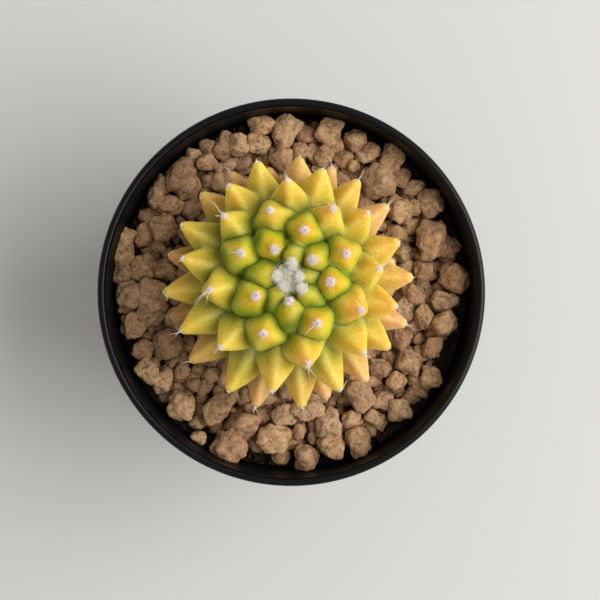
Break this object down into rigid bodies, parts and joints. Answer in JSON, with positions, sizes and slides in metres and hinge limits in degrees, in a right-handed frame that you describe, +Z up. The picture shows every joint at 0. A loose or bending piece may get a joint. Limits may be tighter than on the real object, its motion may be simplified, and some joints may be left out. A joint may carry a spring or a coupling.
{
  "type": "potted mammillaria",
  "caption": "Small globe-shaped cactus with long pointed yellow-green tubercles and a woolly crown, standing in tan gravel in a round black nursery pot.",
  "frame": {"origin": "middle of the pot's foot, on the surface that it stands on", "axes": "+Z up along the pot's middle line; +Y is the top of the picture and +X its right"},
  "size_m": [0.08, 0.08, 0.0957],
  "materials": {
    "black_plastic": "moulded polypropylene, satin, slightly dusty",
    "potting_soil": "dark damp potting mix",
    "tan_gravel": "dry porous clay granules",
    "yellow_flesh": "waxy skin over soft flesh, green in the creases and yellow at the tips",
    "white_wool": "fine curled plant wool"
  },
  "bodies": {
    "root": {"pot": "black_plastic", "soil": "potting_soil", "gravel": "tan_gravel", "cactus": "yellow_flesh", "crown_wool": "white_wool"}
  },
  "joints": []
}
